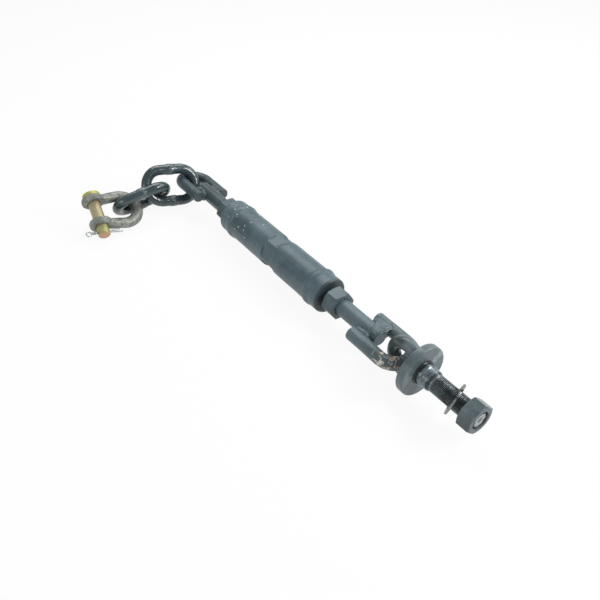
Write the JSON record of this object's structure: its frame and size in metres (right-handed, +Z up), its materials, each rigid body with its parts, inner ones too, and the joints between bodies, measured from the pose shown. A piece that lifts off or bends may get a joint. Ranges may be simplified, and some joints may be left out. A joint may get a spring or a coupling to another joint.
{
  "type": "tractor lower link stabilizer",
  "caption": "Turnbuckle stabilizer with a threaded anchor eye bolt at one end and a short welded chain with a bow shackle and clevis pin at the other.",
  "frame": {"origin": "centre of the anchor flange's seating face, on the stud axis", "axes": "+X out along the anchor stud, +Z up, the part lying on the ground as in the picture"},
  "size_m": [0.5696, 0.2013, 0.0592],
  "materials": {
    "slate_paint": "satin",
    "bare_forging": "matte",
    "yellow_zinc": "satin",
    "bright_zinc": "satin"
  },
  "bodies": {
    "right_rod_body": {"right_rod": "slate_paint", "right_loop": "slate_paint", "right_weld_near": "slate_paint", "right_weld_far": "slate_paint"},
    "right_lock": {"right_lock_nut": "slate_paint"},
    "barrel": {"barrel_tube": "slate_paint", "right_socket": "slate_paint", "left_socket": "slate_paint", "right_bead": "slate_paint", "left_bead": "slate_paint"},
    "left_lock": {"left_lock_nut": "slate_paint"},
    "left_rod_body": {"left_rod": "slate_paint", "left_loop": "slate_paint", "left_weld_near": "slate_paint", "left_weld_far": "slate_paint"},
    "big_link": {"chain_link_big": "slate_paint"},
    "small_link": {"chain_link_small": "slate_paint"},
    "shackle": {"shackle_bow": "bare_forging"},
    "pin": {"clevis_pin": "yellow_zinc", "split_pin": "bright_zinc"},
    "anchor": {"anchor_bolt": "slate_paint"},
    "ring": {"split_ring": "bright_zinc"},
    "nut": {"anchor_nut": "slate_paint"}
  },
  "joints": [
    {"name": "right_lock_slide", "type": "slide", "parent": "right_rod_body", "child": "right_lock", "axis": [1, 0, 0], "range_m": [-0.0126, 0.0076]},
    {"name": "barrel_turn", "type": "hinge", "parent": "right_lock", "child": "barrel", "pos_m": [-0.251, 0, -0.0035], "axis": [1, 0, 0], "range_deg": [-1080, 1800]},
    {"name": "left_lock_hold", "type": "hinge", "parent": "barrel", "child": "left_lock", "pos_m": [-0.363, 0, -0.0035], "axis": [1, 0, 0], "range_deg": [-1800, 1080]},
    {"name": "left_rod_slide", "type": "slide", "parent": "left_lock", "child": "left_rod_body", "axis": [1, 0, 0], "range_m": [-0.0126, 0.0076]},
    {"name": "chain_round_loop", "type": "hinge", "parent": "left_rod_body", "child": "big_link", "pos_m": [-0.47209, -0.01215, -0.00047], "axis": [0.6592, -0.7296, 0.1819], "range_deg": [-60, 6]},
    {"name": "small_link_swing", "type": "hinge", "parent": "big_link", "child": "small_link", "pos_m": [-0.46613, -0.06973, 0.00378], "axis": [-0.4699, 0.0076, 0.8827], "range_deg": [-4, 40]},
    {"name": "shackle_swing", "type": "hinge", "parent": "small_link", "child": "shackle", "pos_m": [-0.47719, -0.08902, -0.021], "axis": [0.0906, 0.9873, 0.1305], "range_deg": [-20, 4]},
    {"name": "pin_turn", "type": "hinge", "parent": "shackle", "child": "pin", "pos_m": [-0.46476, -0.14425, -0.003], "axis": [0.8616, -0.1508, -0.4847], "range_deg": [-120, 120]},
    {"name": "anchor_swing", "type": "hinge", "parent": "right_rod_body", "child": "anchor", "pos_m": [-0.0232, 0, -0.0035], "axis": [0, 1, 0], "range_deg": [-70, 70]},
    {"name": "ring_slide", "type": "slide", "parent": "anchor", "child": "ring", "axis": [1, 0, 0], "range_m": [-0.0121, 0.0076]},
    {"name": "nut_turn", "type": "hinge", "parent": "ring", "child": "nut", "pos_m": [0.067, 0, 0], "axis": [1, 0, 0], "range_deg": [-2880, 1800]}
  ],
  "couplings": [
    {"joint": "right_lock_slide", "follows": "barrel_turn", "m_per_rad": -0.00039789},
    {"joint": "left_lock_hold", "follows": "barrel_turn", "ratio": -1},
    {"joint": "left_rod_slide", "follows": "barrel_turn", "m_per_rad": -0.00039789},
    {"joint": "ring_slide", "follows": "nut_turn", "m_per_rad": 0.00023873}
  ]
}
